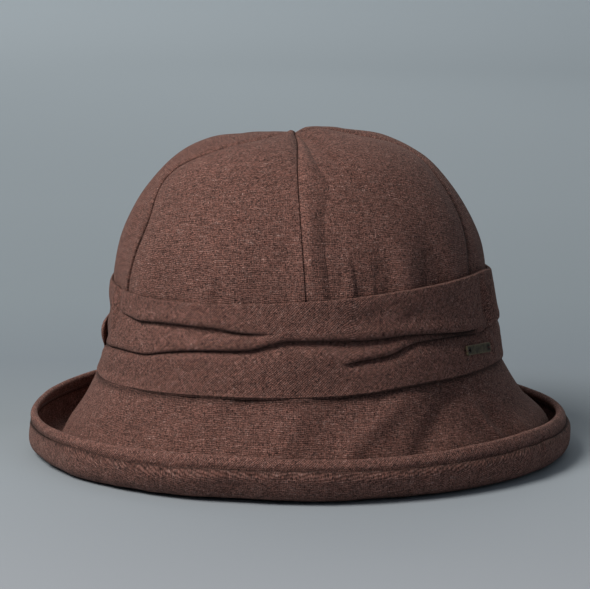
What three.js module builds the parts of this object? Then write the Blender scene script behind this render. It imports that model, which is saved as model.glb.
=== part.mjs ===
// A rolled-brim hat of brown linen. Six gores make the crown, a pleated band is draped round its foot, a flared
// brim rolls up at its edge, a binding covers that edge, and a small metal plate is sewn to the band.
// Lengths are millimetres. Azimuths are degrees from the front, growing towards +X. +Z is up and the front
// faces -Y. The origin lies on the surface that the brim rests on, under the middle of the crown.

import * as THREE from "three";

// Driving dimensions
const crownRadius = 92.8; // outside of the crown's straight wall, at the sides
const crownHeight = 158.6;
const seamHeight = 62; // where crown and brim meet, under the band
const frontToBack = 1.02; // the head opening is this much longer from front to back
const gorePly = 1.6; // two layers of linen
const brimPly = 2.2; // two layers of linen and a stiffener
const bandPly = 1.5;
const edgePly = 1.2; // the brim's edge, pressed thin inside its binding
const bindingPly = 1.1;
const pieceGap = 0.3;

// How finely the solids are faceted
const brimStations = 52;
const bandStations = 76;
const goreColumns = 8;
const goreRows = 10;

// The crown's outline from its lower edge to the apex
const crownOutline = [
  { radius: crownRadius, height: seamHeight },
  { radius: crownRadius, height: 80 },
  { radius: crownRadius - 0.4, height: 92 },
  { radius: 88.4, height: 108.7 },
  { radius: 77.4, height: 129.5 },
  { radius: 62, height: 146.7 },
  { radius: 45.5, height: 155 },
  { radius: 24, height: 157.8 },
  { radius: 0, height: crownHeight },
];

// The gores in order. The seam at a gore's start swings from seamFoot to seamTop over the share swing of its
// length, rise lifts the cloth beside the apex, and fullness is how far its middle puffs out beyond its seams.
const gores = [
  { name: "crown_gore_front_right", seamFoot: 1.8, seamTop: -2.6, swing: 0.95, rise: 3, fullness: 2.4 },
  { name: "crown_gore_side_right", seamFoot: 61.5, seamTop: 79, swing: 0.55, rise: 0.6, fullness: 2.2 },
  { name: "crown_gore_back_right", seamFoot: 121, seamTop: 126, swing: 0.8, rise: 0.2, fullness: 2.2 },
  { name: "crown_gore_back_left", seamFoot: 180, seamTop: 180, swing: 0.8, rise: 0, fullness: 2.4 },
  { name: "crown_gore_side_left", seamFoot: 237, seamTop: 236, swing: 0.8, rise: 0, fullness: 2.8 },
  { name: "crown_gore_front_left", seamFoot: 293, seamTop: 283.5, swing: 0.6, rise: 0.6, fullness: 2.2 },
];
const riseRadius = 9; // how far from the apex the cloth is lifted most
const riseReach = 16;
const apexOpening = 1.5; // the gores' tips stop this far from the apex

// The brim round the hat: the radii of its upper side at the three heights below, the radius where it touches
// down, how far it is lifted off the surface there, and the heights of the binding's lower and upper edge
const brimHeights = { flare: 46, middle: 27, slope: 14 };
const brimSections = [
  { azimuth: -180, flare: 99.2, middle: 108, slope: 116, foot: 119.5, lift: 0, groove: 15.5, lip: 21.5 },
  { azimuth: -135, flare: 98.2, middle: 107, slope: 113.5, foot: 118.5, lift: 0, groove: 18, lip: 24.6 },
  { azimuth: -110, flare: 97.6, middle: 106.6, slope: 112.5, foot: 118.5, lift: 0, groove: 17.8, lip: 24.6 },
  { azimuth: -90, flare: 97.2, middle: 106.4, slope: 112.5, foot: 118.5, lift: 0.3, groove: 15.4, lip: 22.4 },
  { azimuth: -50, flare: 98, middle: 107, slope: 113.5, foot: 118, lift: 0.6, groove: 15.2, lip: 20.2 },
  { azimuth: -15, flare: 99.2, middle: 108, slope: 114.5, foot: 117, lift: 0, groove: 17.2, lip: 22 },
  { azimuth: 15, flare: 99.4, middle: 108.4, slope: 114.5, foot: 117, lift: 0, groove: 15, lip: 20.4 },
  { azimuth: 50, flare: 99.6, middle: 109, slope: 117, foot: 119, lift: 0, groove: 14.7, lip: 21.8 },
  { azimuth: 90, flare: 99.6, middle: 110, slope: 122.5, foot: 123.5, lift: 0, groove: 13.6, lip: 19.4 },
  { azimuth: 115, flare: 99.6, middle: 109.5, slope: 121, foot: 122.5, lift: 0, groove: 12.4, lip: 18 },
  { azimuth: 145, flare: 99.4, middle: 108.5, slope: 117.5, foot: 121, lift: 0, groove: 13, lip: 18.6 },
];
const footWidth = 4; // the flat on which the brim's cloth rests
const wallRadius = 135.4; // outside of the rolled-up wall, where the hat is widest
const wallFoot = { inset: 1.8, height: 5.8 };
const shoulderDrop = 4; // the wall is widest this far below the binding
const grooveInset = 1; // the binding's lower edge lies this far inside the wall's widest place
const wallLean = 2.4; // how far the binding leans in on its way up

// The band's edges, and how far its outside stands out from the crown's wall at each of them
const bandSections = [
  { azimuth: -180, top: 88.5, bottom: 44, topLoft: 2, bottomLoft: 7.8 },
  { azimuth: -150, top: 88, bottom: 42.5, topLoft: 2, bottomLoft: 7.6 },
  { azimuth: -110, top: 87, bottom: 40.8, topLoft: 1.8, bottomLoft: 7.4 },
  { azimuth: -80, top: 86.4, bottom: 40.4, topLoft: 1.4, bottomLoft: 7 },
  { azimuth: -62, top: 86, bottom: 41.2, topLoft: 1.8, bottomLoft: 7.2 },
  { azimuth: -50, top: 85.7, bottom: 42.4, topLoft: 2.2, bottomLoft: 7.2 },
  { azimuth: -20, top: 87.5, bottom: 43.6, topLoft: 2.2, bottomLoft: 7.4 },
  { azimuth: 10, top: 90.3, bottom: 44.9, topLoft: 2.2, bottomLoft: 7.8 },
  { azimuth: 40, top: 93.3, bottom: 47.9, topLoft: 2.4, bottomLoft: 8.4 },
  { azimuth: 70, top: 94.4, bottom: 48.2, topLoft: 2.4, bottomLoft: 9 },
  { azimuth: 88, top: 91.2, bottom: 47.6, topLoft: 2.4, bottomLoft: 9.2 },
  { azimuth: 110, top: 89.6, bottom: 46.6, topLoft: 2.4, bottomLoft: 8.8 },
  { azimuth: 145, top: 89, bottom: 45, topLoft: 2.2, bottomLoft: 8 },
];
const edgeRoll = { height: 2.2, depth: 1 }; // the band's edges round over

// Three creases run round the band, one over the other. The cloth turns in over the height above a crease and
// comes out again over the height below it, and where a crease is 0 deep the cloth lies flat.
const bandCreases = [
  {
    above: 2,
    below: 4.6,
    points: [
      { azimuth: -180, height: 56.5, depth: 3 },
      { azimuth: -150, height: 59, depth: 3 },
      { azimuth: -125, height: 57, depth: 0 },
      { azimuth: -100, height: 47.5, depth: 0 },
      { azimuth: -60, height: 49, depth: 0 },
      { azimuth: -10, height: 54, depth: 0 },
      { azimuth: 9, height: 58.2, depth: 0 },
      { azimuth: 18, height: 59.8, depth: 3 },
      { azimuth: 25, height: 61.6, depth: 4 },
      { azimuth: 36, height: 66, depth: 4.2 },
      { azimuth: 60, height: 65.9, depth: 3.6 },
      { azimuth: 79, height: 68, depth: 2.4 },
      { azimuth: 105, height: 71, depth: 2.8 },
      { azimuth: 125, height: 73, depth: 0 },
      { azimuth: 158, height: 57, depth: 0 },
    ],
  },
  {
    above: 1.8,
    below: 6.5,
    points: [
      { azimuth: -180, height: 69, depth: 3.6 },
      { azimuth: -145, height: 73, depth: 3 },
      { azimuth: -122, height: 73, depth: 0 },
      { azimuth: -104, height: 53, depth: 0 },
      { azimuth: -92, height: 53.5, depth: 2.2 },
      { azimuth: -72, height: 56, depth: 2.6 },
      { azimuth: -51, height: 58, depth: 3 },
      { azimuth: -32, height: 63.7, depth: 3.4 },
      { azimuth: -15, height: 65.8, depth: 3.6 },
      { azimuth: -4, height: 70.7, depth: 4 },
      { azimuth: 30, height: 71.2, depth: 4.4 },
      { azimuth: 44, height: 70.2, depth: 4 },
      { azimuth: 60, height: 70, depth: 0 },
      { azimuth: 90, height: 76, depth: 0 },
      { azimuth: 125, height: 79, depth: 0 },
      { azimuth: 150, height: 72, depth: 3 },
    ],
  },
  {
    above: 1.6,
    below: 6,
    points: [
      { azimuth: -180, height: 80, depth: 0 },
      { azimuth: -100, height: 80, depth: 0 },
      { azimuth: -68, height: 79.5, depth: 0 },
      { azimuth: -58, height: 76, depth: 1.8 },
      { azimuth: -49, height: 74.4, depth: 3 },
      { azimuth: -26, height: 75.2, depth: 3 },
      { azimuth: -15, height: 73.7, depth: 2 },
      { azimuth: -6, height: 75, depth: 0 },
      { azimuth: 20, height: 80, depth: 0 },
      { azimuth: 60, height: 84, depth: 0 },
      { azimuth: 120, height: 83.5, depth: 0 },
    ],
  },
];
const bandRows = 5; // rows of facets below each crease and over the uppermost one

// Swells of the band: the loop of cloth at the left, the hollow in front of it and the slack cloth over it, and
// the fold at the right
const bandSwells = [
  { azimuth: -97, height: 57.5, out: 3.4, halfAngle: 8, halfHeight: 7 },
  { azimuth: -83, height: 58.6, out: -4, halfAngle: 3.6, halfHeight: 5 },
  { azimuth: -88, height: 70, out: -1.6, halfAngle: 14, halfHeight: 8 },
  { azimuth: 76, height: 72, out: 1.2, halfAngle: 5, halfHeight: 22 },
];

// A soft dent in the crown's front and a soft ridge across the brim's slope, both to the right of the middle
const crownDent = {
  above: 9,
  below: 9,
  points: [
    { azimuth: 10, height: 158, depth: 0 },
    { azimuth: 15, height: 153, depth: 1.4 },
    { azimuth: 20, height: 144, depth: 1.4 },
    { azimuth: 26, height: 132, depth: 0 },
  ],
};
const brimRidge = {
  above: 5,
  below: 7,
  points: [
    { azimuth: 12, height: 16, depth: 0 },
    { azimuth: 22, height: 21, depth: -1.3 },
    { azimuth: 38, height: 33, depth: -1.3 },
    { azimuth: 50, height: 40, depth: 0 },
  ],
};

// The metal plate, sewn to the band through a hole at each end
const plate = { length: 23, width: 4.7, thickness: 1.1, corner: 0.9 };
const plateSeat = { azimuth: 58.4, height: 59.2, lean: 12, tilt: -4 };
const plateHole = { radius: 0.85, inset: 2.3 };

const degree = Math.PI / 180;
const mix = (from, to, share) => from + (to - from) * share;
const bell = (distance) => Math.exp(-distance * distance);
const ease = (share) => {
  const held = Math.min(1, Math.max(0, share));
  return held * held * (3 - 2 * held);
};

// The turn from one azimuth to another: forward is 0 to 360, nearest is -180 to 180
const forward = (from, to) => (((to - from) % 360) + 360) % 360;
const nearest = (from, to) => forward(from - 180, to) - 180;

// The head opening is an oval, so radii grow a little towards the front and the back
const oval = (azimuth) => mix(1, frontToBack, Math.cos(azimuth * degree) ** 2);

const place = (azimuth, radius, height) =>
  new THREE.Vector3(radius * Math.sin(azimuth * degree), -radius * Math.cos(azimuth * degree), height);

// A column of a table whose rows go once round the hat
function around(rows, column, azimuth, easing = ease) {
  const start = rows[0].azimuth;
  const at = start + forward(start, azimuth);
  let i = rows.length - 1;
  while (rows[i].azimuth > at) i -= 1;
  const next = rows[(i + 1) % rows.length];
  const end = i + 1 < rows.length ? next.azimuth : start + 360;
  return mix(rows[i][column], next[column], easing((at - rows[i].azimuth) / (end - rows[i].azimuth)));
}

const creaseHeight = (crease, azimuth) => around(crease.points, "height", azimuth, (share) => share);

// How deep one crease draws the surface in at an azimuth and a height
function creaseDepth(crease, azimuth, height) {
  const over = height - creaseHeight(crease, azimuth);
  return around(crease.points, "depth", azimuth) * bell(over / (over > 0 ? crease.above : crease.below));
}

// Adds a grid of points as triangles. They face along (next column) x (next row).
function addGrid(positions, rows, closed) {
  for (let j = 0; j + 1 < rows.length; j += 1) {
    const columns = rows[j].length;
    for (let i = 0; i < (closed ? columns : columns - 1); i += 1) {
      const k = (i + 1) % columns;
      const corners = [rows[j][i], rows[j][k], rows[j + 1][k], rows[j + 1][i]];
      for (const n of [0, 1, 2, 0, 2, 3]) positions.push(...corners[n].toArray());
    }
  }
}

function geometryOf(positions) {
  const geometry = new THREE.BufferGeometry();
  geometry.setAttribute("position", new THREE.Float32BufferAttribute(positions, 3));
  geometry.computeVertexNormals();
  return geometry;
}

// A ring whose section is a closed outline of [radius, height] points, found at each azimuth.
// The outline runs up its outer side and down its inner side.
function ringGeometry(stations, sectionAt) {
  const sections = [];
  for (let i = 0; i < stations; i += 1) {
    const azimuth = (360 * i) / stations;
    sections.push(sectionAt(azimuth).map(([radius, height]) => place(azimuth, radius, height)));
  }
  const rows = sections[0].map((_, j) => sections.map((section) => section[j]));
  const positions = [];
  addGrid(positions, [...rows, rows[0]], true);
  return geometryOf(positions);
}

// A curved panel with a thickness, from the grids of its outer and its inner face
function panelGeometry(outer, inner) {
  const positions = [];
  const side = (grid, i) => grid.map((row) => row.at(i));
  addGrid(positions, outer, false);
  addGrid(positions, inner.map((row) => [...row].reverse()), false);
  addGrid(positions, [inner[0], outer[0]], false);
  addGrid(positions, [outer.at(-1), inner.at(-1)], false);
  addGrid(positions, [side(outer, 0), side(inner, 0)], false);
  addGrid(positions, [side(inner, -1), side(outer, -1)], false);
  return geometryOf(positions);
}

const linen = (color) => new THREE.MeshStandardMaterial({ color, roughness: 0.95, metalness: 0 });
const crownLinen = linen(0x6e4f46);
const bandLinen = linen(0x6a4b42);
const brimLinen = linen(0x6b4c43);
const bindingLinen = linen(0x705247);
const agedBrass = new THREE.MeshStandardMaterial({ color: 0x4a4634, roughness: 0.45, metalness: 0.9 });

const hat = new THREE.Group();
function addPiece(parent, name, geometry, material) {
  const mesh = new THREE.Mesh(geometry, material);
  mesh.name = name;
  parent.add(mesh);
  return mesh;
}

// Crown
const outlineCurve = new THREE.SplineCurve(
  crownOutline.map(({ radius, height }) => new THREE.Vector2(radius, height)),
);
const topAlong = 1 - apexOpening / outlineCurve.getLength();

const seamAzimuth = (gore, along) => mix(gore.seamFoot, gore.seamTop, ease(along / gore.swing));

// A point of a gore. across runs from its own seam to the next, along from the lower edge to the apex, and
// depth is how far below the outside of the cloth the point lies.
const seamGroove = { depth: 0.4, start: 0.1, full: 0.4, power: 3.2, fadeRadius: 30 };
function gorePoint(index, across, along, depth) {
  const gore = gores[index];
  const start = seamAzimuth(gore, along);
  const azimuth = start + forward(start, seamAzimuth(gores[(index + 1) % gores.length], along)) * across;
  const point = outlineCurve.getPointAt(along);
  const tangent = outlineCurve.getTangentAt(along);
  const { start: puffStart, full, power, fadeRadius } = seamGroove;
  const puff = gore.fullness * ease((along - puffStart) / (full - puffStart)) + seamGroove.depth;
  const groove = puff * Math.abs(2 * across - 1) ** power * Math.min(1, point.x / fadeRadius);
  const rise = gore.rise * bell((point.x - riseRadius) / riseReach) * Math.sin(Math.PI * across);
  const out = rise - groove - creaseDepth(crownDent, azimuth, point.y) - depth;
  return place(azimuth, (point.x + tangent.y * out) * oval(azimuth), point.y - tangent.x * out);
}

function goreFace(index, depth) {
  const goreAngle = 360 / gores.length;
  const rows = [];
  for (let j = 0; j <= goreRows; j += 1) {
    const along = (topAlong * j) / goreRows;
    const edge = pieceGap / 2 / (outlineCurve.getPointAt(along).x * goreAngle * degree);
    const columns = Array.from({ length: goreColumns + 1 }, (_, i) => mix(edge, 1 - edge, i / goreColumns));
    rows.push(columns.map((across) => gorePoint(index, across, along, depth)));
  }
  return rows;
}

gores.forEach(({ name }, index) => {
  addPiece(hat, name, panelGeometry(goreFace(index, 0), goreFace(index, gorePly)), crownLinen);
});

// The line of the brim's upper side, from the seam down the slope, across the foot and up the wall
const footSink = 0.1; // the foot is pressed this much thinner than the rest
const samplesPerSpan = 2;
function brimLine(azimuth) {
  const columns = ["flare", "middle", "slope", "foot", "lift", "groove", "lip"];
  const [flare, middle, slope, foot, lift, groove, lip] = columns.map((column) =>
    around(brimSections, column, azimuth),
  );
  const footTop = lift + brimPly - footSink;
  const wall = wallRadius - brimPly;
  const edge = wallRadius - grooveInset - bindingPly - pieceGap - edgePly;
  const points = [
    [crownRadius * oval(azimuth), seamHeight - pieceGap],
    [flare, brimHeights.flare],
    [middle, brimHeights.middle],
    [slope, brimHeights.slope],
    [foot - footWidth / 2, footTop],
    [foot + footWidth / 2, footTop],
    [wall - wallFoot.inset, wallFoot.height + lift],
    [wall, groove - shoulderDrop],
    [edge, groove],
    [edge - wallLean, lip - bindingPly - pieceGap],
  ];
  const curve = new THREE.CatmullRomCurve3(
    points.map(([radius, height]) => new THREE.Vector3(radius, height, 0)),
    false,
    "centripetal",
  );
  const count = (points.length - 1) * samplesPerSpan;
  return Array.from({ length: count + 1 }, (_, k) => ({
    point: curve.getPoint(k / count),
    tangent: curve.getTangent(k / count),
  }));
}

// A point behind a sample of the brim's line: behind is measured from the upper side towards the lower side,
// and beyond is measured on along the line
const beside = ({ point, tangent }, behind, beyond = 0) => [
  point.x + tangent.y * behind + tangent.x * beyond,
  point.y - tangent.x * behind + tangent.y * beyond,
];

function brimSection(azimuth) {
  const lift = around(brimSections, "lift", azimuth);
  const samples = brimLine(azimuth);
  const inBinding = samples.slice(-1 - samplesPerSpan);
  const ridge = (sample) => (sample.tangent.y < 0 ? creaseDepth(brimRidge, azimuth, sample.point.y) : 0);
  const upper = samples.map((sample) => beside(sample, ridge(sample)));
  const lower = samples.map((sample) => {
    const ply = inBinding.includes(sample) ? edgePly : brimPly;
    const [radius, height] = beside(sample, ridge(sample) + ply);
    return [radius, Math.max(lift, height)];
  });
  return [...lower, ...upper.reverse()];
}
addPiece(hat, "brim", ringGeometry(brimStations, brimSection), brimLinen);

// The binding is a strip folded over the brim's edge
function bindingSection(azimuth) {
  const wall = brimLine(azimuth).slice(-1 - samplesPerSpan);
  const edge = wall.at(-1);
  const near = pieceGap;
  const far = pieceGap + bindingPly;
  const round = bindingPly / 2;
  return [
    ...wall.map((sample) => beside(sample, edgePly + far)),
    beside(edge, edgePly + far - round, far),
    beside(edge, round - far, far),
    ...wall.map((sample) => beside(sample, -far)).reverse(),
    ...wall.slice(0, -1).map((sample) => beside(sample, -near)),
    beside(edge, -near, near),
    beside(edge, edgePly + near, near),
    ...wall.slice(0, -1).map((sample) => beside(sample, edgePly + near)).reverse(),
  ];
}
addPiece(hat, "brim_binding", ringGeometry(brimStations, bindingSection), bindingLinen);

// The outside of what lies under the band: the crown's wall and, below the seam, the flaring brim
function backingRadius(azimuth, height) {
  if (height >= seamHeight) return crownRadius * oval(azimuth);
  const line = brimLine(azimuth).map(({ point }) => point);
  const i = Math.max(1, line.findIndex((point) => point.y <= height));
  const [over, under] = [line[i - 1], line[i]];
  return mix(over.x, under.x, (over.y - height) / (over.y - under.y));
}

// The outside of the band
function bandRadius(azimuth, height) {
  const [top, bottom, topLoft, bottomLoft] = ["top", "bottom", "topLoft", "bottomLoft"].map((column) =>
    around(bandSections, column, azimuth),
  );
  const loft = mix(bottomLoft, topLoft, (height - bottom) / (top - bottom));
  let radius = crownRadius * oval(azimuth) + loft;
  for (const crease of bandCreases) radius -= creaseDepth(crease, azimuth, height);
  for (const swell of bandSwells) {
    const turned = nearest(swell.azimuth, azimuth) / swell.halfAngle;
    radius += swell.out * bell(turned) * bell((height - swell.height) / swell.halfHeight);
  }
  const fromEdge = Math.min(height - bottom, top - height);
  radius -= edgeRoll.depth * (1 - ease(fromEdge / edgeRoll.height));
  return Math.max(radius, backingRadius(azimuth, height) + pieceGap + bandPly / 2);
}

// The band's section. Its inner side follows the crown and the brim, so the pleats are filled in behind.
const bandClearance = pieceGap + 0.15; // the facets of the two sides don't line up
const backingShares = [0, 0.4, 0.7, 1]; // its inner rows, from the seam down to its lower edge
function bandSection(azimuth) {
  const top = around(bandSections, "top", azimuth);
  const bottom = around(bandSections, "bottom", azimuth);
  const levels = [bottom, ...bandCreases.map((crease) => creaseHeight(crease, azimuth)), top];
  const heights = [bottom];
  for (let i = 1; i < levels.length; i += 1) {
    for (let k = 1; k <= bandRows; k += 1) heights.push(mix(levels[i - 1], levels[i], k / bandRows));
  }
  const outer = heights.map((height) => [bandRadius(azimuth, height), height]);
  const backingHeights = [top, ...backingShares.map((share) => mix(seamHeight, bottom, share))];
  const inner = backingHeights.map((height) => [backingRadius(azimuth, height) + bandClearance, height]);
  return [...outer, ...inner];
}
addPiece(hat, "hat_band", ringGeometry(bandStations, bandSection), bandLinen);

// The plate is flat, so it is seated on the furthest place of the rounded band behind it
function plateReach() {
  const steps = [-1, -0.5, 0, 0.5, 1];
  const reaches = steps.flatMap((along) =>
    steps.map((up) => {
      const turned = Math.asin((along * plate.length) / 2 / bandRadius(plateSeat.azimuth, plateSeat.height));
      const height = plateSeat.height + (up * plate.width) / 2;
      const out = bandRadius(plateSeat.azimuth + turned / degree, height) * Math.cos(turned);
      return out + (height - plateSeat.height) * Math.tan(plateSeat.lean * degree);
    }),
  );
  return Math.max(...reaches);
}

function plateGeometry() {
  const [x, y] = [plate.length / 2 - plate.corner, plate.width / 2 - plate.corner];
  const corners = [[x, y], [-x, y], [-x, -y], [x, -y]];
  const shape = new THREE.Shape();
  corners.forEach(([cornerX, cornerY], i) => {
    shape.absarc(cornerX, cornerY, plate.corner, 90 * i * degree, 90 * (i + 1) * degree);
  });
  for (const side of [-1, 1]) {
    const holeX = side * (plate.length / 2 - plateHole.inset);
    shape.holes.push(new THREE.Path().absarc(holeX, 0, plateHole.radius, 0, 360 * degree));
  }
  return new THREE.ExtrudeGeometry(shape, {
    depth: plate.thickness,
    bevelEnabled: false,
    curveSegments: 3,
  });
}

const plateMount = new THREE.Group();
plateMount.position.copy(place(plateSeat.azimuth, plateReach() + pieceGap, plateSeat.height));
plateMount.rotation.set((90 - plateSeat.lean) * degree, 0, plateSeat.azimuth * degree, "ZXY");
addPiece(plateMount, "badge_plate", plateGeometry(), agedBrass).rotation.z = plateSeat.tilt * degree;
hat.add(plateMount);

export default hat;
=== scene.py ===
# A rolled-brim hat of brown slubby linen: six crown gores, a pleated band draped round their foot, a flared
# brim that rolls up into a binding, and a small brass plate sewn to the band.
# The cloth is shaped in millimetres and degrees. Azimuth 0 is the front, and azimuths grow towards +X.

import itertools
import math

import bmesh
import bpy
import numpy as np
from mathutils import Matrix, Vector


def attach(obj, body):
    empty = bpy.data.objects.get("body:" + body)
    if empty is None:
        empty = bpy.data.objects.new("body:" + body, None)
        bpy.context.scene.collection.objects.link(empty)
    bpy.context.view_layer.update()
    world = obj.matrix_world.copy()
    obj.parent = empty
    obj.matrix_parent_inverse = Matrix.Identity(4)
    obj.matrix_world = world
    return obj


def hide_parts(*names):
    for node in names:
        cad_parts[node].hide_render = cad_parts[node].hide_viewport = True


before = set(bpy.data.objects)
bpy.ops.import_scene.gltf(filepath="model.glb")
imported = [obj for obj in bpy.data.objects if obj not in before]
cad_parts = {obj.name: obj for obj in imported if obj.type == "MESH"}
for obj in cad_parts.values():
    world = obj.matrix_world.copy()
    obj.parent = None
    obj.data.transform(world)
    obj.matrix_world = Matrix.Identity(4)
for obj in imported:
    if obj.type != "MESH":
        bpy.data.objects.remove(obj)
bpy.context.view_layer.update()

mm = 0.001


# Camera, at the photograph's angle
camera = {
    "aim": (-2.5, 0, 77.1),  # the middle of the picture
    "distance": 1500,
    "elevation": 9.5,
    "focalPixels": 3000,
    "pictureWidth": 590,  # pixels
    "sensor": 36,
}


def makeCamera():
    tilt = math.radians(camera["elevation"])
    back = Vector((0, -math.cos(tilt), math.sin(tilt)))
    data = bpy.data.cameras.new("camera")
    data.sensor_width = camera["sensor"]
    data.lens = camera["focalPixels"] * camera["sensor"] / camera["pictureWidth"]
    viewer = bpy.data.objects.new("camera", data)
    viewer.location = (Vector(camera["aim"]) + back * camera["distance"]) * mm
    viewer.rotation_euler = (-back).to_track_quat("-Z", "Y").to_euler()
    bpy.context.scene.collection.objects.link(viewer)
    bpy.context.scene.camera = viewer


# Shapes
def table(columns, *rows):
    return dict(zip(columns.split(), np.array(rows, float).T))


def ease(share):
    held = np.clip(share, 0, 1)
    return held * held * (3 - 2 * held)


def bell(distance):
    return np.exp(-np.square(distance))


def mix(start, end, share):
    return start + (end - start) * share


def nearest(start, azimuth):
    # the turn from one azimuth to another, from -180 to 180
    return np.mod(azimuth - start + 180, 360) - 180


def hermite(share, start, startSlope, end, endSlope):
    square, cube = share**2, share**3
    rise = 3 * square - 2 * cube
    swing = (cube - 2 * square + share) * startSlope + (cube - square) * endSlope
    return (1 - rise) * start + rise * end + swing


def follow(stops, values, at):
    # a smooth line through the values, which never swings past them
    gaps = np.diff(stops)
    slopes = np.diff(values) / gaps
    product = np.maximum(slopes[:-1] * slopes[1:], 0)
    steep = 2 * product / np.where(product > 0, slopes[:-1] + slopes[1:], 1)
    steep = np.concatenate([slopes[:1], steep, slopes[-1:]])
    i = np.clip(np.searchsorted(stops, at, side="right") - 1, 0, len(gaps) - 1)
    gap = gaps[i]
    return hermite((at - stops[i]) / gap, values[i], gap * steep[i], values[i + 1], gap * steep[i + 1])


def around(rows, column, azimuth):
    # a column of a table whose rows go once round the hat
    stops, values = rows["azimuth"], rows[column]
    stops = np.concatenate([stops[-2:] - 360, stops, stops[:2] + 360])
    values = np.concatenate([values[-2:], values, values[:2]])
    return follow(stops, values, stops[2] + np.mod(azimuth - stops[2], 360))


def lineThrough(points, steps):
    # a smooth line through points, each of which may be a whole ring of points
    points = np.asarray(points, float)
    padded = np.concatenate([[2 * points[0] - points[1]], points, [2 * points[-1] - points[-2]]])
    gaps = np.linalg.norm(np.diff(padded, axis=0), axis=-1, keepdims=True) ** 0.5
    line = []
    for i in range(len(points) - 1):
        before, start, end, after = padded[i : i + 4]
        gap0, gap, gap2 = gaps[i : i + 3]
        startSlope = gap * ((start - before) / gap0 - (end - before) / (gap0 + gap)) + end - start
        endSlope = gap * ((after - end) / gap2 - (after - start) / (gap + gap2)) + end - start
        line += [hermite(share, start, startSlope, end, endSlope) for share in np.arange(steps) / steps]
    return np.array([*line, points[-1]])


def together(*parts):
    # coordinates as one array of points
    return np.stack(np.broadcast_arrays(*parts), axis=-1)


def place(azimuth, radius, height):
    turn = np.radians(azimuth)
    return together(radius * np.sin(turn), -radius * np.cos(turn), height)


latticeSize = 32
lattice = np.random.default_rng(7).uniform(-1, 1, (latticeSize,) * 3)


def swells(kind, points):
    # Smooth random rises and hollows of the cloth. kind is their height, their size along x, y and z, and
    # how many times pi the lattice is shifted, so that no two kinds look alike.
    height, size, shift = kind
    spot = points / np.array(size, float) + shift * math.pi
    cell = np.floor(spot).astype(int)
    share = ease(spot - cell)
    total = 0
    for corner in itertools.product((0, 1), repeat=3):
        weight = np.prod(np.where(corner, share, 1 - share), axis=-1)
        total = total + weight * lattice[tuple(np.moveaxis((cell + corner) % latticeSize, -1, 0))]
    return height * total


def dents(rows, azimuth, height):
    # soft rises and hollows of the cloth: ovals that lean by some degrees for each millimetre they climb
    total = 0
    for k in range(len(rows["azimuth"])):
        dent = {column: values[k] for column, values in rows.items()}
        up = height - dent["height"]
        aside = nearest(dent["azimuth"] + dent["lean"] * up, azimuth)
        total = total + dent["out"] * bell(aside / dent["halfAngle"]) * bell(up / dent["halfHeight"])
    return total


def clothPiece(name, points, threads, paintedLight, slot, material, closed=True):
    # A closed body of cloth from a grid of points whose rows run up its outside and down its inside. threads
    # is the grid laid flat in millimetres, with one more row, and one more column where the columns go once
    # round. The fourth argument is the light and shade painted onto each point: how much paler it is
    # painted, or darker where it is below zero, as a share.
    rows, columns = points.shape[:2]
    r, c = np.mgrid[:rows, : columns - 1 + closed].reshape(2, -1)
    corners = np.array([(r, c), (r, c + 1), (r + 1, c + 1), (r + 1, c)])
    index = (corners[:, 0] % rows * columns + corners[:, 1] % columns).T
    laid = threads[corners[:, 0], corners[:, 1]].transpose(1, 0, 2)
    if not closed:
        outer = np.arange(rows // 2 - 1)
        inner = rows - 1 - outer
        left = np.array([outer, outer + 1, inner - 1, inner]).T
        right = left[:, ::-1]
        index = np.concatenate([index, left * columns, right * columns + columns - 1])
        laid = np.concatenate([laid, threads[left, 0], threads[right, columns - 1]])
    mesh = bpy.data.meshes.new(name)
    mesh.from_pydata((points.reshape(-1, 3) * mm).tolist(), [], index.tolist())
    mesh.uv_layers.new(name="threads").data.foreach_set("uv", laid.ravel())
    mesh.attributes.new("paintedLight", "FLOAT", "POINT").data.foreach_set("value", paintedLight.ravel())
    mesh.polygons.foreach_set("use_smooth", np.ones(len(index), bool))
    return finishPiece(bpy.data.objects.new(name, mesh), slot, material)


def finishPiece(piece, slot, material):
    piece.data.materials.clear()
    piece.data.materials.append(material)
    bpy.context.scene.collection.objects.link(piece)
    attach(piece, "root")
    return piece


# Materials
def fromHex(text):
    # an sRGB hex value as linear light
    values = [int(text[i : i + 2], 16) / 255 for i in (1, 3, 5)]
    return (*[v / 12.92 if v <= 0.04045 else ((v + 0.055) / 1.055) ** 2.4 for v in values], 1)


def adder(tree):
    # The function that adds a node to a tree, a shader node unless its kind says otherwise. A node that is
    # given as an input is linked by its first output.
    def add(kind, inputs=None, **settings):
        node = tree.nodes.new(kind if "Node" in kind else "ShaderNode" + kind)
        for setting, value in settings.items():
            setattr(node, setting, value)
        for socket, value in (inputs or {}).items():
            if isinstance(value, bpy.types.Node):
                value = value.outputs[0]
            if isinstance(value, bpy.types.NodeSocket):
                tree.links.new(value, node.inputs[socket])
            else:
                node.inputs[socket].default_value = value
        return node

    return add


def newMaterial(name):
    material = bpy.data.materials.new(name)
    material.use_nodes = True
    material.node_tree.nodes.clear()
    return material, adder(material.node_tree)


linenLooks = {
    "threadSpacing": 0.85,  # mm; the real 0.6 is finer than a pixel, so it is drawn this coarse
    "wander": 2.4,  # mm; how far a thread strays from a straight line
    "bends": 0.14,  # how many times it does in each millimetre
    "weft": (0.2, 0.85),  # how high the weft shows where it is under the warp and over it
    "warp": (0.5, 1),
    "grain": (0.75, 0.42),  # mm; length and height of the spot of thread that shows at a crossing
    "slubLength": 6,  # mm; how far a thick or pale stretch of thread runs
    "patch": 26,  # mm; slow changes of the dye
    "gap": "#38231C",
    "thread": "#684740",
    "pale": "#8D6A61",
    "fleck": "#D2B9B1",
    "bloom": "#E3CDBF",
    "speck": 0.88,  # how much the dye and the light vary from one crossing to the next
    "threadRelief": 0.25,  # mm
}


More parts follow.
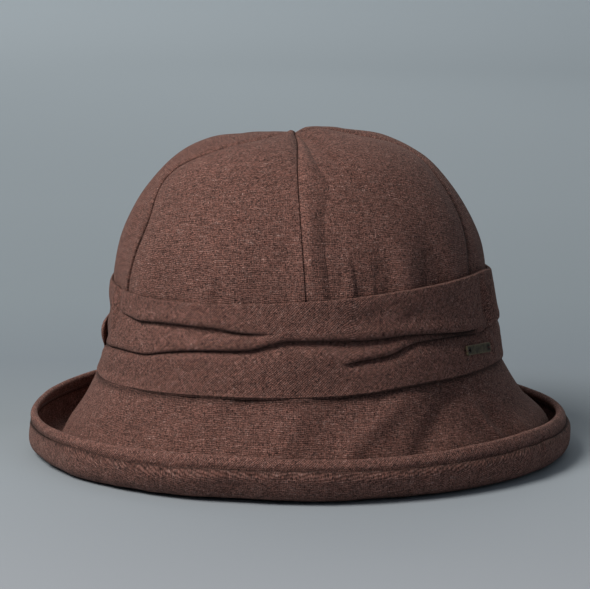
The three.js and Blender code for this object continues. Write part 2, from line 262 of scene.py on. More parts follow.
def linen(name, bias=0):
    # plain-woven linen: matt, with uneven threads, pale slubs and a faint bloom of fibres at grazing angles
    material, add = newMaterial(name)
    looks = linenLooks
    laid = add("UVMap", uv_map="threads")
    drift = {"Vector": laid, "Scale": looks["bends"], "Detail": 4, "Roughness": 0.6}
    drift = add("TexNoise", drift).outputs["Color"]
    drift = add("VectorMath", {0: drift, 1: (0.5, 0.5, 0.5)}, operation="SUBTRACT")
    drift = add("VectorMath", {0: drift, "Scale": looks["wander"]}, operation="SCALE")
    laid = add("VectorMath", {0: laid, 1: drift}, operation="ADD")
    pitch = (1 / looks["threadSpacing"],) * 3
    turn = (0, 0, math.radians(bias))
    spot = add("Mapping", {"Vector": laid, "Scale": pitch, "Rotation": turn})

    # plain weave: each thread passes over its neighbours and under them by turns
    wave = add("VectorMath", {0: spot, "Scale": math.pi}, operation="SCALE")
    wave = add("VectorMath", {0: wave}, operation="SINE")
    wave = add("SeparateXYZ", {0: wave}).outputs
    crossing = add("Math", {0: wave["X"], 1: wave["Y"]}, operation="MULTIPLY")
    tops = []
    for axis, over, (low, high) in (("X", 1, looks["weft"]), ("Y", -1, looks["warp"])):
        bulge = add("Math", {0: wave[axis]}, operation="ABSOLUTE")
        lifted = {"Value": crossing, "From Min": -over, "From Max": over, "To Min": low, "To Max": high}
        lifted = add("MapRange", lifted)
        tops.append(add("Math", {0: bulge, 1: lifted}, operation="MULTIPLY"))
    height = add("Math", {0: tops[0], 1: tops[1]}, operation="MAXIMUM")

    # each thread has its own thickness and paleness, which change along it
    along = looks["threadSpacing"] / looks["slubLength"]
    slubs = []
    for stretch in ((along, 1, 1), (1, along, 1)):
        line = add("Mapping", {"Vector": spot, "Scale": stretch})
        slubs.append(add("TexNoise", {"Vector": line, "Scale": 0.8, "Detail": 3}))
    slub = add("Mix", {"Factor": 0.36, "A": slubs[0], "B": slubs[1]})
    pale = add("MapRange", {"Value": slub, "From Min": 0.24, "From Max": 0.76})

    # every crossing takes the dye and the light in its own way
    grains = []
    for size in (looks["grain"], looks["grain"][::-1]):
        scale = (1 / size[0], 1 / size[1], 1)
        grain = add("Mapping", {"Vector": laid, "Scale": scale, "Rotation": turn})
        grain = add("VectorMath", {0: grain}, operation="FLOOR")
        grains.append(add("TexWhiteNoise", {"Vector": grain}))
    speck = add("Mix", {"Factor": 0.4, "A": grains[0], "B": grains[1]})
    speck = {"Value": speck, "To Min": 1 - looks["speck"], "To Max": 1 + looks["speck"]}
    speck = add("MapRange", speck)
    dyed = add("MapRange", {"Value": grains[1], "To Min": 0.94, "To Max": 1.08})

    # pale flecks where a fibre bundle catches the dye badly
    fleck = add("TexNoise", {"Vector": spot, "Scale": 1.1, "Detail": 3, "Roughness": 0.8})
    fleck = add("Math", {0: fleck, 1: slub}, operation="ADD")
    fleck = add("MapRange", {"Value": fleck, "From Min": 1.1, "From Max": 1.36, "To Max": 0.5})

    # the gaps between the threads are dark
    gap = {"Value": height, "From Min": 0.1, "From Max": 0.8, "To Min": 1, "To Max": 0}
    gap = add("MapRange", gap)
    color = fromHex(looks["thread"])
    for share, end in ((pale, "pale"), (fleck, "fleck"), (gap, "gap")):
        colors = {"Factor": share, "A": color, "B": fromHex(looks[end])}
        color = add("Mix", colors, data_type="RGBA").outputs[2]

    # slow changes of the dye, and the light and shade painted onto seams, creases, grooves, rises and
    # hollows
    patch = add("TexNoise", {"Vector": laid, "Scale": 1 / looks["patch"], "Detail": 3})
    patch = add("MapRange", {"Value": patch, "To Min": 0.88, "To Max": 1.12})
    paintedLight = add("Attribute", attribute_name="paintedLight").outputs["Fac"]
    value = add("Math", {0: patch, 1: speck}, operation="MULTIPLY")
    value = add("Math", {0: value, 1: paintedLight, 2: value}, operation="MULTIPLY_ADD")
    color = add("HueSaturation", {"Color": color, "Value": value, "Saturation": dyed})

    relief = add("Math", {0: slub, 1: height}, operation="ADD")
    relief = {"Height": relief, "Strength": 1, "Distance": looks["threadRelief"] * mm}
    look = {
        "Base Color": color,
        "Roughness": 0.95,
        "Specular IOR Level": 0.2,
        "Sheen Weight": 0.07,
        "Sheen Roughness": 0.45,
        "Sheen Tint": fromHex(looks["bloom"]),
        "Normal": add("Bump", relief),
    }
    add("OutputMaterial", {"Surface": add("BsdfPrincipled", look)})
    return material


def agedBrass():
    # brass darkened with age: olive brown and dull, rubbed bright along its edges, painted near black as
    # shade in its holes and dirty round them
    material, add = newMaterial("aged_brass")
    laid = add("Attribute", attribute_name="laid").outputs["Vector"]
    stain = add("TexNoise", {"Vector": laid, "Scale": 0.5, "Detail": 5, "Roughness": 0.65})
    scratch = add("Mapping", {"Vector": laid, "Scale": (0.5, 7, 1)})
    scratch = add("TexNoise", {"Vector": scratch, "Scale": 1, "Detail": 3})
    away = add("VectorMath", {0: laid}, operation="ABSOLUTE")

    # how near the rim, and how near the holes
    inside = {0: (plate["length"] / 2, plate["width"] / 2, 0), 1: away}
    inside = add("VectorMath", inside, operation="SUBTRACT")
    inside = add("SeparateXYZ", {0: inside}).outputs
    rim = add("Math", {0: inside["X"], 1: inside["Y"]}, operation="MINIMUM")
    rim = add("Math", {0: rim, 1: stain}, operation="SUBTRACT")
    rim = {"Value": rim, "From Min": -0.35, "From Max": 0.35, "To Min": 0.4, "To Max": 0}
    rim = add("MapRange", rim)
    # painted shade inside each hole, fading out as dirt round it
    hole = {0: away, 1: (plate["length"] / 2 - plate["holeInset"], 0, plate["thickness"] / 2)}
    hole = add("VectorMath", hole, operation="DISTANCE").outputs["Value"]
    hole = {"Value": hole, "From Min": plate["hole"], "From Max": plate["holeShadeAndDirt"], "To Min": 0.85, "To Max": 0}
    hole = add("MapRange", hole)

    worn = add("MapRange", {"Value": stain, "From Min": 0.3, "From Max": 0.7})
    color = fromHex("#332D20")
    for share, end in ((worn, "#665C48"), (rim, "#8A7D60"), (hole, "#0C0A08")):
        colors = {"Factor": share, "A": color, "B": fromHex(end)}
        color = add("Mix", colors, data_type="RGBA").outputs[2]
    dull = add("MapRange", {"Value": scratch, "To Min": 0.4, "To Max": 0.7})
    relief = add("Bump", {"Height": scratch, "Strength": 0.5, "Distance": 0.06 * mm})
    look = {"Base Color": color, "Metallic": 0.5, "Roughness": dull, "Normal": relief}
    add("OutputMaterial", {"Surface": add("BsdfPrincipled", look)})
    return material


def sewingThread():
    # twisted polyester sewing thread, a shade darker than the cloth
    material, add = newMaterial("sewing_thread")
    spot = add("TexCoord").outputs["Object"]
    twist = add("TexNoise", {"Vector": spot, "Scale": 2500})
    colors = {"Factor": twist, "A": fromHex("#3A2620"), "B": fromHex("#76534A")}
    color = add("Mix", colors, data_type="RGBA").outputs[2]
    look = add("BsdfPrincipled", {"Base Color": color, "Roughness": 0.7})
    add("OutputMaterial", {"Surface": look})
    return material


# Stitches, laid along a line at even steps
stitches = {
    "pitch": 2.8,
    "length": 2.3,
    "thickness": 0.42,
    "dip": 0.35,  # how deep the ends of a stitch go into the cloth
    "turns": 0,  # quarter turns away from the line
    "wobble": (0.03, 0.03, 0.09),  # radians
    "seed": 3,
}


def stitchTree():
    tree = bpy.data.node_groups.new("stitches", "GeometryNodeTree")
    sockets = {"Geometry": "Geometry", "Seed": "Int", "Material": "Material"}
    sockets |= dict.fromkeys(("Pitch", "Length", "Thickness", "Dip", "Quarter Turns"), "Float")
    for name, kind in sockets.items():
        tree.interface.new_socket(name, in_out="INPUT", socket_type="NodeSocket" + kind)
    tree.interface.new_socket("Geometry", in_out="OUTPUT", socket_type="NodeSocketGeometry")
    add = adder(tree)
    given = add("NodeGroupInput").outputs

    # one stitch: a short bowed length of thread
    half = add("Math", {0: given["Length"], 1: 0.5}, operation="MULTIPLY")
    before = add("Math", {0: half, 1: -1}, operation="MULTIPLY")
    under = add("Math", {0: given["Dip"], 1: -1}, operation="MULTIPLY")
    start, end = (add("CombineXYZ", {"X": x, "Z": under}) for x in (before, half))
    top = add("CombineXYZ", {"Z": given["Dip"]})
    bow = {"Resolution": 6, "Start": start, "Middle": top, "End": end}
    bow = add("GeometryNodeCurveQuadraticBezier", bow)
    across = add("Math", {0: given["Thickness"], 1: 0.5}, operation="MULTIPLY")
    ring = add("GeometryNodeCurvePrimitiveCircle", {"Resolution": 6, "Radius": across})
    stitch = add("GeometryNodeCurveToMesh", {"Curve": bow, "Profile Curve": ring, "Fill Caps": True})

    # its places along the line, turned so that it lies on the cloth
    line = add("GeometryNodeMeshToCurve", {"Mesh": given["Geometry"]})
    line = add("GeometryNodeResampleCurve", {"Curve": line, "Length": given["Pitch"]}, mode="LENGTH")
    along = add("GeometryNodeInputTangent")
    outward = add("GeometryNodeInputNamedAttribute", {"Name": "outward"}, data_type="FLOAT_VECTOR")
    turn = add("FunctionNodeAlignRotationToVector", {"Vector": along}, axis="X")
    turn = {"Rotation": turn, "Vector": outward.outputs["Attribute"]}
    turn = add("FunctionNodeAlignRotationToVector", turn, axis="Z", pivot_axis="X")
    most = stitches["wobble"]
    wobble = {"Min": tuple(-angle for angle in most), "Max": most, "Seed": given["Seed"]}
    wobble = add("FunctionNodeRandomValue", wobble, data_type="FLOAT_VECTOR")
    quarter = {0: given["Quarter Turns"], 1: math.pi / 2}
    quarter = add("Math", quarter, operation="MULTIPLY")
    quarter = add("CombineXYZ", {"Z": quarter})
    wobble = add("VectorMath", {0: wobble, 1: quarter}, operation="ADD")
    wobble = add("FunctionNodeEulerToRotation", {"Euler": wobble})
    turn = add("FunctionNodeRotateRotation", {"Rotation": turn, "Rotate By": wobble}, rotation_space="LOCAL")
    placed = {"Points": line, "Instance": stitch, "Rotation": turn}
    placed = add("GeometryNodeInstanceOnPoints", placed)
    placed = add("GeometryNodeRealizeInstances", {"Geometry": placed})
    placed = add("GeometryNodeSetMaterial", {"Geometry": placed, "Material": given["Material"]})
    add("NodeGroupOutput", {"Geometry": placed})
    return tree


def sew(name, lines, outward, slot, material, **changes):
    # stitches along lines of points, each of them a ring where it is closed
    sizes = {**stitches, **changes}
    path = bpy.data.meshes.new(name)
    edges, start = [], 0
    for line, closed in lines:
        count = len(line)
        edges += [(start + i, start + (i + 1) % count) for i in range(count if closed else count - 1)]
        start += count
    path.from_pydata((np.concatenate([line for line, _ in lines]) * mm).tolist(), edges, [])
    path.attributes.new("outward", "FLOAT_VECTOR", "POINT").data.foreach_set("vector", np.ravel(outward))
    guide = bpy.data.objects.new(name + "_line", path)
    bpy.context.scene.collection.objects.link(guide)
    modifier = guide.modifiers.new("stitches", "NODES")
    modifier.node_group = bpy.data.node_groups.get("stitches") or stitchTree()
    given = {size.capitalize(): sizes[size] * mm for size in ("pitch", "length", "thickness", "dip")}
    given |= {"Quarter Turns": float(sizes["turns"]), "Seed": sizes["seed"], "Material": material}
    for socket in modifier.node_group.interface.items_tree:
        if socket.in_out == "INPUT" and socket.name in given:
            modifier[socket.identifier] = given[socket.name]
    made = bpy.data.meshes.new_from_object(guide.evaluated_get(bpy.context.evaluated_depsgraph_get()))
    bpy.data.objects.remove(guide)
    made.polygons.foreach_set("use_smooth", np.ones(len(made.polygons), bool))
    return finishPiece(bpy.data.objects.new(name, made), slot, material)


# Crown: six gores that puff out between their seams
crown = {
    "seamHeight": 62,  # where crown and brim meet, under the band
    "frontToBack": 1.02,  # the head opening is this much longer from front to back
    "ply": 1.6,
    "gap": 0.03,
    "tipAside": -2.4,  # the seams meet this far beside the middle
    "tip": 0.5,  # the gores end this far from the apex
    "columns": 84,
    "rows": 96,
    "crowding": 0.92,  # how much closer together the columns are beside the seams
    "cutsApart": 200,  # between the middles of two gores' flat cuts
    "bowAt": 0.53,  # the share of the way up at which a seam bows, and how far that reaches
    "bowReach": 0.1,
    "seamSink": 0.4,  # how far in even a flat gore's seams lie
    "squareness": 3.2,  # how late a gore curves down towards its seams
    "calm": 30,  # nearer than this to the apex the gores flatten out
    "seamRound": (0.22, 0.6),  # radius of the cloth's turn into a seam, at the foot and at the top
    "seamRidge": 0.3,  # the seam's allowance lifts the cloth beside it
    "seamRidgeAt": 3.6,
    "dimple": (0.75, (34, 34, 42), 1),  # wide soft dents
    "rumple": (0.22, (11, 11, 17), 2),
    "pucker": (0.3, (8, 8, 44), 3),  # folds that rise from the band
    "puckerFrom": 88,
    "puckerReach": 17,
    "riseAt": 9,  # how far from the apex a gore is lifted most
    "riseReach": 24,
    "peakAt": 5,
    "peakReach": 4,
    "stepReach": 6,  # how far from a seam a gore that laps over its neighbour stands proud
    "rightSeam": (78, 28),  # azimuth, and degrees beside it
    "leftFold": (-65, 6, 111, 13),  # where one gore folds over the next: the same, and height and reach
    "seamShade": (0.2, 0.85, 0.6),  # how dark the painted shade along the seams is elsewhere, at the right and in the fold
    "seamShadeReach": (0.6, 2.6, 1),  # and how far that reaches beside them
    "reliefShade": 0.13,  # painted light and shade: how much paler a rise of a millimetre is painted, and how much darker a hollow
}
crownOutline = table(
    "radius height",
    (92.8, 62), (92.8, 80), (92.4, 92), (88.4, 108.7), (77.4, 129.5),
    (62, 146.7), (45.5, 155), (24, 157.8), (0, 158.6),
)
goreNames = ("front_right", "side_right", "back_right", "back_left", "side_left", "front_left")
gores = table(  # startStep and endStep are how proud each gore stands at its seams
    "seamFoot seamTop swingFrom swing bow rise peak fullness startStep endStep",
    (1.8, -2.6, 0, 0.95, 0, 3.6, 0, 2.4, -0.4, 0.3),
    (61.5, 98, 0.12, 0.62, -7, 2.2, 0, 2.2, -0.6, 0.2),
    (121, 132, 0, 0.8, 0, 1.8, 0, 2.2, 0, 0),
    (180, 180, 0, 0.8, 0, 0.4, 0, 2.4, 0, 0.2),
    (237, 236, 0, 0.8, 0, 0.2, 0, 2.8, 0, 0.9),
    (295.5, 310, 0.58, 0.32, -12, 0.8, 1.6, 2.4, -0.2, 0.4),
)
crownDents = table(
    "azimuth height out halfAngle halfHeight lean",
    (6.4, 94, 0.6, 2.2, 13, 0),  # puckers that rise from the band
    (10.2, 94, -0.7, 1.9, 13, 0),
    (14.6, 96, 2, 2.4, 17, 0),
    (18.8, 96, -2.6, 2.2, 19, 0),
    (21.4, 92, 0.9, 1.2, 11, 0),
    (25, 95, -2.2, 3, 14, -0.05),
    (32.5, 96, 1.8, 3.6, 17, -0.05),
    (44, 97, -1.6, 4.4, 19, -0.05),
    (53, 96, 0.8, 4, 15, 0),
    (-28.2, 91, 0.9, 1.8, 7, 0),
    (-25, 91, -1.5, 1.4, 7, 0),
    (-18.4, 97, 0.5, 2.2, 14, 0),
    (-14.2, 97, -0.6, 2.2, 15, 0),
    (-44, 98, -0.7, 5, 18, 0),
    (-56, 92, 0.7, 4, 14, 0),
    (2.4, 120, 1.8, 4, 32, 0),  # slack cloth beside the front seam
    (13, 118, -3, 7.5, 30, 0.05),
    (13, 153, -2.2, 6, 8, -0.7),
    (20.5, 141, -1.8, 5, 9, -0.7),
    (-158, 155, -2.2, 26, 6, 0),
    (150, 92, 0.6, 4, 16, 0),  # and behind
    (161, 93, -0.6, 4, 15, 0),
    (-140, 94, 0.6, 5, 15, 0),
    (-152, 95, -0.6, 4, 14, 0),
    (104, 94, -0.5, 4, 14, 0),
)


def oval(azimuth):
    return mix(1, crown["frontToBack"], np.cos(np.radians(azimuth)) ** 2)


def crease(track, above, below, azimuth, height):
    # how far a crease draws the cloth in
    over = height - around(track, "height", azimuth)
    return around(track, "depth", azimuth) * bell(over / np.where(over > 0, above, below))


def goreFace(index, across, along, depth, detail):
    # a face of a gore, depth behind its outside: its points, their places on the flat cut, and its painted
    # light and shade
    line = lineThrough(np.array([crownOutline["radius"], crownOutline["height"]]).T, 24)
    reach = np.append(0, np.cumsum(np.linalg.norm(np.diff(line, axis=0), axis=1)))
    slope = np.gradient(line, reach, axis=0)
    slope /= np.linalg.norm(slope, axis=1, keepdims=True)
    at = along * (reach[-1] - crown["tip"])
    radius, height, leanOut, leanUp = (np.interp(at, reach, v) for v in (*line.T, *slope.T))
    gore, nextGore = ({k: v[i % 6] for k, v in gores.items()} for i in (index, index + 1))
    start, end = (
        mix(seam["seamFoot"], seam["seamTop"], ease((along - seam["swingFrom"]) / seam["swing"]))
        + seam["bow"] * bell((along - crown["bowAt"]) / crown["bowReach"])
        for seam in (gore, nextGore)
    )
    wide = np.mod(end - start, 360)
    azimuth = start + wide * across
    width = np.radians(wide) * radius
    fromSeam = np.minimum(across, 1 - across) * width + crown["gap"] / 2
    laid = (across - 0.5) * width + crown["cutsApart"] * index
    laid = together(laid, at)

    puff = gore["fullness"] * ease((along - 0.1) / 0.3) + crown["seamSink"]
    out = -puff * np.abs(2 * across - 1) ** crown["squareness"] * np.minimum(1, radius / crown["calm"])
    rise = gore["rise"] * ease(radius / 15) * bell((radius - crown["riseAt"]) / crown["riseReach"])
    peak = gore["peak"] * bell((radius - crown["peakAt"]) / crown["peakReach"])
    out = out + rise * np.sin(np.pi * across) ** 1.2 + peak * np.sin(np.pi * across)
    if detail:
        base = place(azimuth, radius, height)
        turn = np.minimum(mix(*crown["seamRound"], ease((along - 0.3) / 0.4)), width / 4)
        inTurn = np.clip(turn - fromSeam, 0, turn)
        out = out - (turn - np.sqrt(turn**2 - inTurn**2))
        ridge = bell((fromSeam - crown["seamRidgeAt"]) / 2) * ease(radius / crown["calm"])
        out = out + crown["seamRidge"] * ridge
        out = out + swells(crown["dimple"], base) * ease(fromSeam / 20)
        out = out + swells(crown["rumple"], base) * ease(fromSeam / 4)
        low = bell((height - crown["puckerFrom"]) / crown["puckerReach"])
        out = out + swells(crown["pucker"], base) * low
        soft = dents(crownDents, azimuth, height) * ease(radius / 18)
        out = out + soft
        far = width / crown["stepReach"]
        step = gore["startStep"] * bell(across * far) + gore["endStep"] * bell((1 - across) * far)
        out = out + step * ease(radius / 20)
    off = out - depth
    points = place(azimuth, (radius + leanUp * off) * oval(azimuth), height - leanOut * off)
    points[..., 0] += crown["tipAside"] * bell(radius / 18)
    if not detail:
        return points, laid, 0 * out

    # painted shade along the seams, more so at the right and where the gores fold at the left, a faint
    # painted highlight on the allowance beside them, painted highlights on rises and painted shade in
    # hollows
    foldAzimuth, foldAngle, foldHeight, foldReach = crown["leftFold"]
    folded = bell(nearest(foldAzimuth, azimuth) / foldAngle) * bell((height - foldHeight) / foldReach)
    rightAzimuth, rightAngle = crown["rightSeam"]
    right = bell(nearest(rightAzimuth, azimuth) / rightAngle)
    paintedShade, paintedShadeReach = (
        mix(mix(elsewhere, atRight, right), inFold, folded)
        for elsewhere, atRight, inFold in (crown["seamShade"], crown["seamShadeReach"])
    )
    paintedLight = 0.04 * bell((fromSeam - 2.4) / 1.2) - paintedShade * bell(fromSeam / paintedShadeReach)
    return points, laid, paintedLight + crown["reliefShade"] * soft


def makeCrown(material):
    spread = np.linspace(0, 1, crown["columns"] + 1)
    spread = spread - crown["crowding"] * np.sin(2 * np.pi * spread) / (2 * np.pi)
    along = np.linspace(0, 1, crown["rows"] + 1)[:, None]
    width = np.radians(60) * np.interp(along, (0, 0.6, 1), (93, 70, 2))  # about a gore's at each height
    edge = crown["gap"] / 2 / width
    across = mix(edge, 1 - edge, spread)
    for index, name in enumerate(goreNames):
        points, laid, paintedLight = goreFace(index, across, along, 0, True)
        inner, innerLaid, innerPaintedLight = goreFace(index, across, along, crown["ply"], False)
        points = np.concatenate([points, inner[::-1]])
        laid = np.concatenate([laid, innerLaid[::-1], laid[:1]])
        paintedLight = np.concatenate([paintedLight, innerPaintedLight[::-1]])
        gore = clothPiece("linen_gore_" + name, points, laid, paintedLight, "crown_linen", material, closed=False)
        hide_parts("crown_gore_" + name)
        size = np.ptp(laid.reshape(-1, 2), axis=0)
        cut = np.abs(np.diff(laid[: crown["rows"] + 1, :, 0], axis=1)).sum(axis=1).mean() * size[1]


# Brim: down the slope, across the foot that it stands on, and up the rolled wall
brim = {
    "ply": 2.2,  # two layers of linen and a stiffener
    "edgePly": 1.2,  # pressed thin inside the binding
    "footWidth": 4,
    "wallRadius": 135.4,  # the hat is widest here
    "wallHeight": 4.7,
    "shoulder": 1.7,  # the wall bends in this far below the binding
    "stations": 540,
    "slopeRows": 50,
    "wallRows": 42,
    "wallShare": 0.2,  # the last part of the line has its rows closer together
    "patternRadius": 228,  # the flat cut is a part of a ring, this far from its middle at the crown
    "patternTurn": 0.411,  # and it turns this much for each degree round the hat
    "wave": (0.7, (30, 30, 24), 4),
    "rumple": (0.25, (9, 9, 12), 5),
    "pucker": (0.2, (5, 5, 40), 6),  # below the groove
    # painted shade in the groove and towards the floor, painted shadow under the band, and painted light and
    # shade on the slope's rises and creases
    "grooveShade": 0.9,
    "footShade": 0.16,
    "underBandShadow": 0.6,
    "reliefShade": 0.05,
}
# inset and lean are how far the binding lies and tips inwards, and tuck how far the wall's foot does
brimRows = table(
    "azimuth flare middle slope foot lift tuck groove lip inset lean",
    (-180, 99.2, 108, 116, 119.5, 0, 2.6, 15.5, 21.5, 1, 2.2),
    (-135, 98.2, 107, 113.5, 118.5, 0, 2, 17, 23.6, 0.4, 0.8),
    (-110, 98.4, 107, 113.5, 120, 0, 1.2, 15.2, 21.6, 0, 0.4),
    (-90, 98.4, 107, 116, 125, 0, 0, 15.2, 19.9, 0, 0.4),
    (-70, 98.2, 107, 115.2, 122.5, 0, 0.8, 15.3, 20, 0.2, 0.7),
    (-50, 98.4, 107, 113.5, 117.2, 0, 2.6, 15, 20.2, 1, 1.2),
    (-30, 99, 107.6, 113.6, 116, 0.3, 3.8, 14.1, 21.4, 1.5, 1.6),
    (-15, 100, 108, 113.6, 115, 0.8, 4.6, 15.6, 21.9, 1.8, 1.8),
    (-5, 100.2, 108.2, 113.8, 115.8, 0, 4.4, 15.7, 21.3, 1.8, 1.8),
    (15, 100.2, 108.4, 114, 116.4, 0, 4.2, 14.7, 20.3, 1.8, 1.8),
    (50, 99.8, 109, 116.6, 119.2, 0, 2.2, 14.7, 21.8, 1.6, 2),
    (90, 100.4, 112, 125, 127.6, 0, 0.8, 13.6, 19.4, 1, 2.4),
    (115, 100, 111, 123.2, 125.6, 0, 2, 12.4, 18, 1, 2.4),
    (145, 99.4, 108.5, 117.5, 121, 0, 2.4, 13, 18.6, 1, 2.4),
)
brimHeights = {"flare": 46, "middle": 27, "slope": 14}
lineSteps = 8
brimCreases = (  # a ridge has a depth below zero
    {"above": 7, "below": 6, "track": table(
        "azimuth height depth",
        (-180, 30, 0), (8, 15, 0), (11, 19, -1.3), (16.5, 27.5, -1.9),
        (22.5, 34.5, -1.9), (29, 41, -1.3), (40, 46, 0),
    )},
    {"above": 7, "below": 8, "track": table(
        "azimuth height depth",
        (-180, 30, 0), (24, 11, 0), (30.5, 20, 1.9),
        (36.5, 28.5, 2.3), (43.5, 38, 1.8), (54, 46, 0),
    )},
)
brimDents = table(
    "azimuth height out halfAngle halfHeight lean",
    (-3, 31, 1.2, 4.5, 15, 0.22),
    (6.5, 30, -1.2, 5, 15, 0.3),
    (-25, 36, 0.7, 4, 9, 0.3),
    (-17, 38, -0.9, 4.5, 10, 0.4),
    (-48, 27, -0.9, 7, 8, 0.6),
    (-37, 33, -1.1, 6, 9, 0.5),
    (-62, 33, 0.7, 5, 10, 0.3),
    (54.8, 24, 1.1, 1.5, 9, -0.28),
    (59, 24, -0.9, 2.6, 10, -0.25),
    (68, 18, 0.8, 3.6, 8, -0.2),
    (110, 28, 1, 6, 12, -0.3),
    (122, 26, -0.9, 6, 12, -0.3),
    (160, 28, 1, 6, 13, 0.3),
    (-170, 30, -0.8, 6, 12, 0.3),
    (-140, 27, 1, 7, 12, 0.4),
    (-124, 28, -0.8, 6, 12, 0.4),
)
wallDents = table(  # on the rolled wall; heights are from the binding's lower edge
    "azimuth height out halfAngle halfHeight lean",
    (-14, -7, -0.9, 5, 5, 0),
    (-3.5, -4, -0.5, 2, 4, 0),
    (8, -4, -0.5, 1.8, 4, 0),
    (24.5, -3, -0.7, 1.5, 3, 0.4),
    (31, -5, -0.5, 2, 5, 0),
    (48, -5, -0.6, 3, 5, 0),
    (-36, -4, -0.4, 2.5, 4, 0),
    (-60, -5, -0.5, 3, 5, 0),
    (100, -4, -0.5, 3, 5, 0),
    (140, -4, -0.6, 3, 5, 0),
    (-160, -4, -0.5, 3, 5, 0),
)


def brimLine(azimuth):
    # the brim's upper side, from the seam with the crown to its edge, at a whole ring of azimuths
    row = {column: around(brimRows, column, azimuth) for column in brimRows}
    footTop = row["lift"] + brim["ply"] - 0.1
    wall = brim["wallRadius"] - brim["ply"]
    edge = brim["wallRadius"] - row["inset"] - binding["ply"] - binding["gap"] - brim["edgePly"]
    points = [
        (crownOutline["radius"][0] * oval(azimuth), crown["seamHeight"] - 0.3),
        (row["flare"], brimHeights["flare"]),
        (row["middle"], brimHeights["middle"]),
        (row["slope"], brimHeights["slope"]),
        (row["foot"] - brim["footWidth"] / 2, footTop),
        (row["foot"] + brim["footWidth"] / 2, footTop),
        (wall - row["tuck"], brim["wallHeight"] + row["lift"]),
        (wall, row["groove"] - brim["shoulder"]),
        (mix(wall, edge, 0.25), row["groove"] - 0.7),
        (edge, row["groove"] + 0.3),
        (edge - row["lean"] * 0.4, mix(row["groove"], row["lip"], 0.5)),
        (edge - row["lean"], row["lip"] - binding["ply"] - binding["gap"]),
    ]
    return lineThrough([together(radius, height) for radius, height in points], lineSteps)


def resample(line, share):
    # the points at these shares of a line's length, for each of its columns
    steps = np.linalg.norm(np.diff(line, axis=0), axis=-1)
    reach = np.concatenate([np.zeros((1, line.shape[1])), np.cumsum(steps, axis=0)])
    columns = [
        [np.interp(share * far[-1], far, column[:, k]) for k in (0, 1)]
        for far, column in zip(reach.T, line.transpose(1, 0, 2))
    ]
    return np.array(columns).transpose(2, 0, 1), share[:, None] * reach[-1]


def beside(line, behind, beyond=0):
    # a point behind each sample of a line, on the side that its underside lies
    along = np.gradient(line, axis=0)
    along /= np.linalg.norm(along, axis=-1, keepdims=True)
    across = np.stack([along[..., 1], -along[..., 0]], axis=-1)
    return line + across * np.asarray(behind)[..., None] + along * np.asarray(beyond)[..., None]


def makeBrim(material):
    azimuth = np.arange(brim["stations"]) * 360 / brim["stations"] - 180
    split = 1 - brim["wallShare"]
    slope = np.linspace(0, split, brim["slopeRows"], endpoint=False)
    wall = np.linspace(split, 1, brim["wallRows"])
    line, reach = resample(brimLine(azimuth), np.append(slope, wall))
    radius, height = line[..., 0], line[..., 1]
    base = place(azimuth, radius, height)
    groove, lift = (around(brimRows, column, azimuth) for column in ("groove", "lift"))
    downhill = np.gradient(height, axis=0) < 0
    fold = swells(brim["wave"], base) + swells(brim["rumple"], base)
    fold = fold * ease((reach - 6) / 14)  # none behind the band
    for each in brimCreases:
        fold = fold + crease(each["track"], each["above"], each["below"], azimuth, height) * downhill
    fold = fold - dents(brimDents, azimuth, height) * downhill
    nearGroove = np.where(downhill, 0, bell((height - groove + 2.4) / 3.2))
    fold = fold + swells(brim["pucker"], base) * nearGroove
    onWall = np.where(downhill, 0, ease((radius - 124) / 8))
    fold = fold + dents(wallDents, azimuth, height - groove) * onWall
    thick = np.where(downhill, brim["ply"], mix(brim["ply"], brim["edgePly"], ease(height - groove + 0.6)))
    upper = beside(line, fold)
    lower = beside(line, fold + thick)
    lower[..., 1] = np.maximum(lower[..., 1], lift)
    outer, inner = (place(azimuth, side[..., 0], side[..., 1]) for side in (lower, upper))
    points = np.concatenate([outer, inner[::-1]])

    # painted shade in the groove and towards the floor, painted shadow under the band, a painted highlight
    # where the slope stands out and painted shade in its creases
    wallShade = -brim["grooveShade"] * bell(height - groove - 0.2) - brim["footShade"] * ease((9 - height) / 7)
    underBand = around(bandRows, "bottom", azimuth) - 0.6 - height
    slopeLightAndShade = -brim["underBandShadow"] * bell(underBand / 1.5) - brim["reliefShade"] * fold
    paintedLight = np.concatenate([np.where(downhill, 0, wallShade), np.where(downhill, slopeLightAndShade, 0)[::-1]])
    turn = np.append(azimuth, 180) * brim["patternTurn"]
    far = np.concatenate([reach, reach[:, :1]], axis=1) + brim["patternRadius"]
    laid = place(turn, far, 0)[..., :2]
    laid = np.concatenate([laid, laid[::-1], laid[:1]])
    piece = clothPiece("linen_brim", points, laid, paintedLight, "brim_linen", material)
    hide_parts("brim")
    far = far[-1].mean()


# Binding: a strip folded over the brim's edge
binding = {
    "ply": 1,
    "gap": 0.15,
    "edgeRadius": 134,  # of the edge that the strip is cut for
    "stations": 720,
    "rows": 14,  # up each side of the brim's edge
    "turnRows": 7,  # and round it
    "stitchedRow": 3,  # from the inner side's lower edge
    "pucker": (0.35, (4.5, 4.5, 60), 8),
    "wave": (0.2, (14, 14, 14), 9),
    "pinch": 0.8,  # how far its stitched edge is drawn in
    # painted shade along its lower edge and a painted highlight along its top
    "edgeDark": 0.55,
    "topHighlight": 0.1,
}
bindingDents = table(  # heights are from its lower edge
    "azimuth height out halfAngle halfHeight lean",
    (-38.4, 2.6, -0.6, 0.9, 2.4, 0.2),
    (-17.4, 2.2, -0.7, 0.9, 2.6, 0),
    (-3.9, 2.2, -0.7, 0.8, 2.6, 0),
    (8.2, 2.2, -0.7, 1, 2.6, 0),
    (17.2, 2.6, -0.7, 0.8, 2.8, -0.2),
    (20.3, 2.6, -0.5, 0.7, 2.8, -0.2),
    (24.6, 2.2, -0.6, 0.9, 2.4, 0),
    (31.4, 2.6, -0.6, 0.9, 2.6, 0),
    (-74, 2.6, -0.5, 1, 2.6, 0),
    (61, 2.6, -0.5, 1, 2.6, 0),
)


